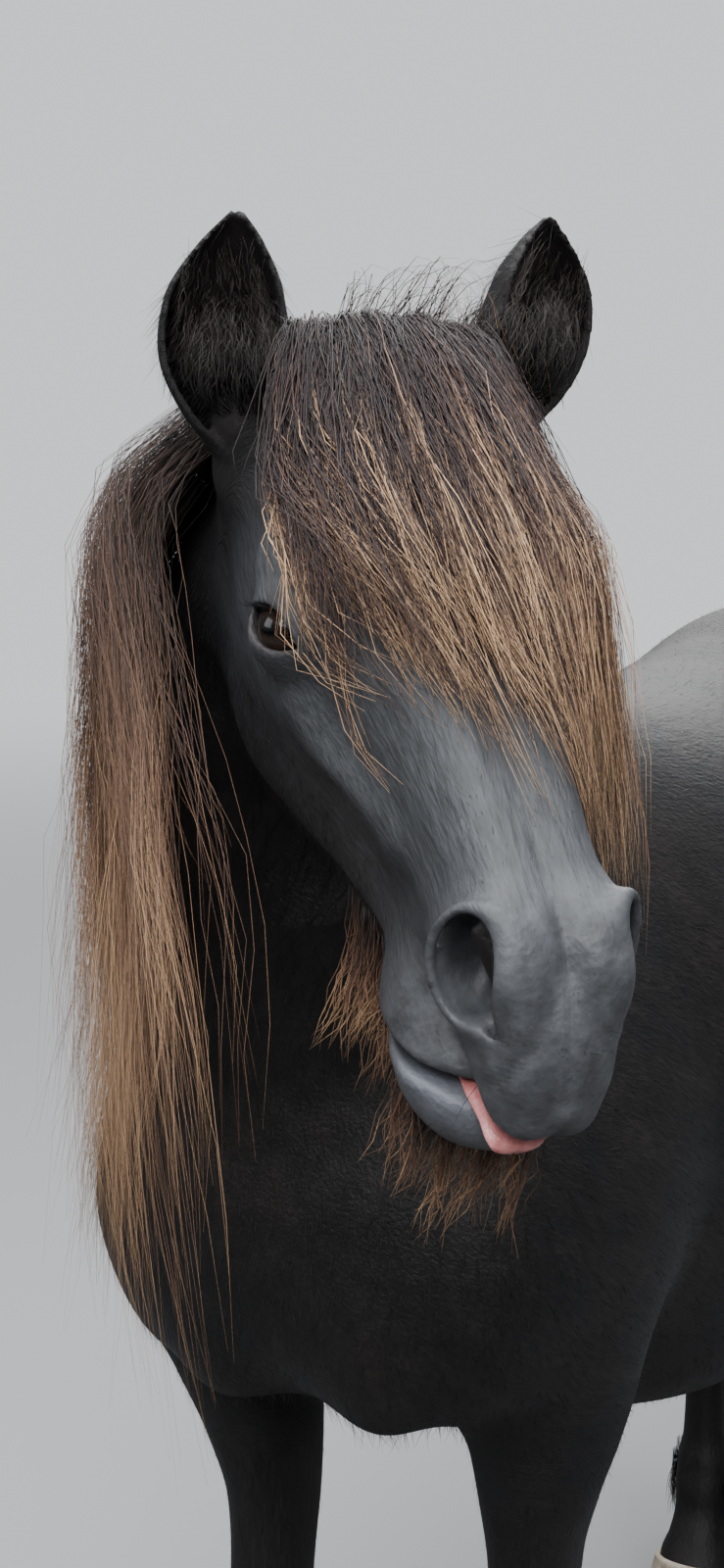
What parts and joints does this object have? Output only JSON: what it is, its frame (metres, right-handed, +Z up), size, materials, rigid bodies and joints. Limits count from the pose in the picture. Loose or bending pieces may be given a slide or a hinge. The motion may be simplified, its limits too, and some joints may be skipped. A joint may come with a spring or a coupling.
{
  "type": "shetland pony",
  "caption": "Life-size small pony standing still with its head turned to its left, with a long mane, forelock, beard and tail.",
  "frame": {"origin": "middle of the whole outline on the ground, at the level of the soles", "axes": "+Z up, -Y the way the body faces, +X its left side"},
  "size_m": [0.5454, 1.4466, 1.2643],
  "materials": {
    "coat": "short dense coat, near black",
    "mane": "long hair, brown with paler tips",
    "eye": "wet and glossy",
    "horn": "dull dark hoof horn",
    "pale_horn": "dull pale hoof horn",
    "tongue": "moist"
  },
  "bodies": {
    "root": {"torso": "coat", "neck": "mane", "head": "coat", "ear_left": "coat", "ear_right": "coat", "eye_left": "eye", "eye_right": "eye", "foreleg_left": "coat", "foreleg_right": "coat", "hindleg_left": "coat", "hindleg_right": "coat", "hoof_fore_left": "horn", "hoof_fore_right": "horn", "hoof_hind_left": "horn", "hoof_hind_right": "pale_horn", "tongue": "tongue", "tail": "mane"}
  },
  "joints": []
}
